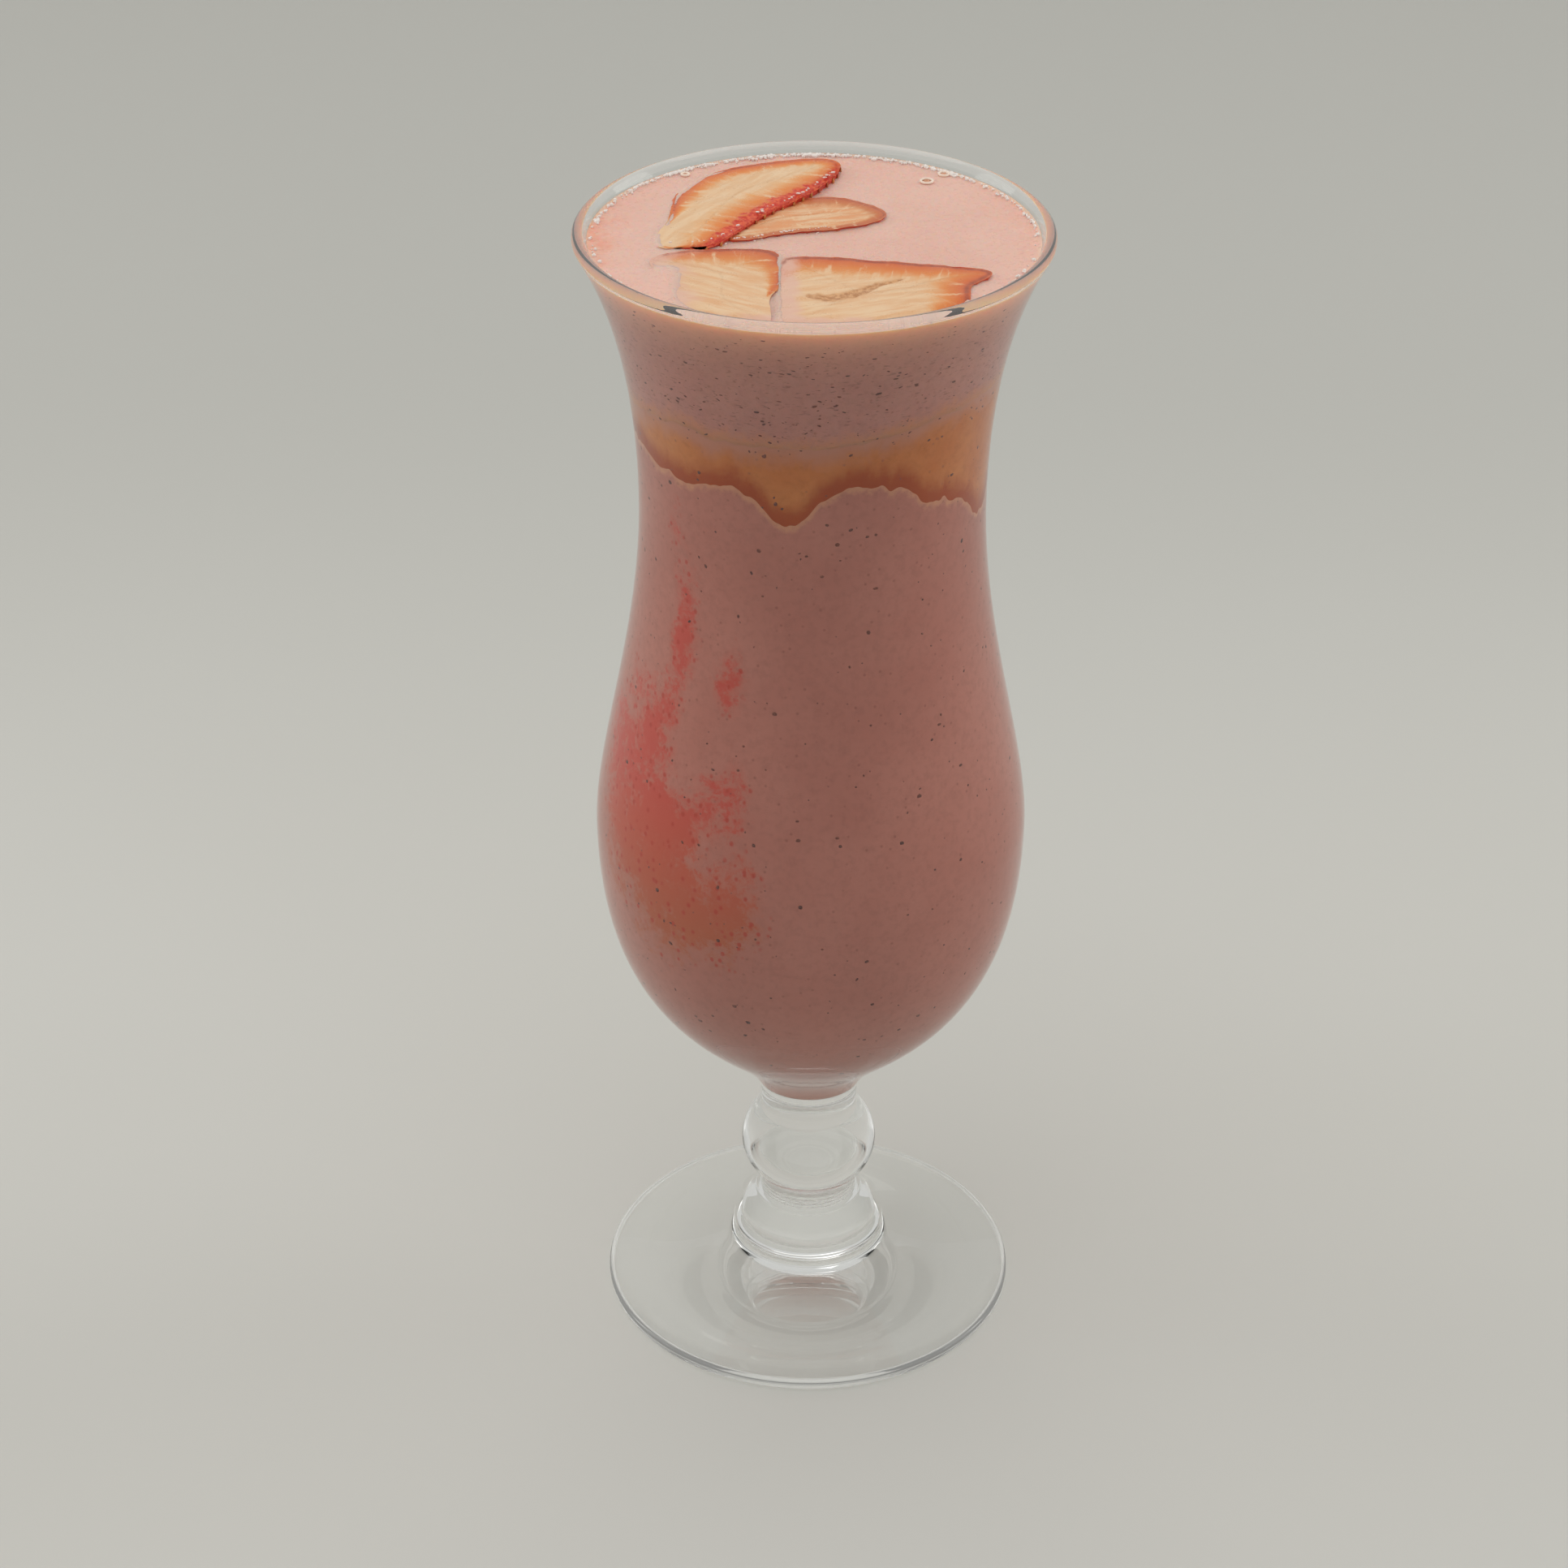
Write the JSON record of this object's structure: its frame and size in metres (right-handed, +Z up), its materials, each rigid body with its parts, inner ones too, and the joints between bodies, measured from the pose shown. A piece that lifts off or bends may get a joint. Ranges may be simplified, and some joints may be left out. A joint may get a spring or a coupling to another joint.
{
  "type": "strawberry smoothie in a footed glass",
  "caption": "Tall waisted glass on a ball stem and round foot, filled to the brim with a layered pink and orange smoothie, with berry slices floating on top.",
  "frame": {"origin": "middle of the foot on the surface that the glass stands on", "axes": "+Z up along the glass's axis of revolution, -Y the side shown at the front, +X to its right"},
  "size_m": [0.0782, 0.0782, 0.21],
  "materials": {
    "glass": "clear, fire-polished",
    "smoothie_pink": "thick blended fruit, pink, with fine dark specks",
    "smoothie_orange": "thick blended fruit, orange",
    "smoothie_top": "thick blended fruit, pale pink, wet",
    "berry_flesh": "wet cut berry, cream core, orange to red rim"
  },
  "bodies": {
    "root": {"glass": "glass", "smoothie_lower": "smoothie_pink", "orange_layer": "smoothie_orange", "smoothie_upper": "smoothie_top", "slice_back_large": "berry_flesh", "slice_back_small": "berry_flesh", "slice_front_right": "berry_flesh", "slice_front_left": "berry_flesh"}
  },
  "joints": []
}
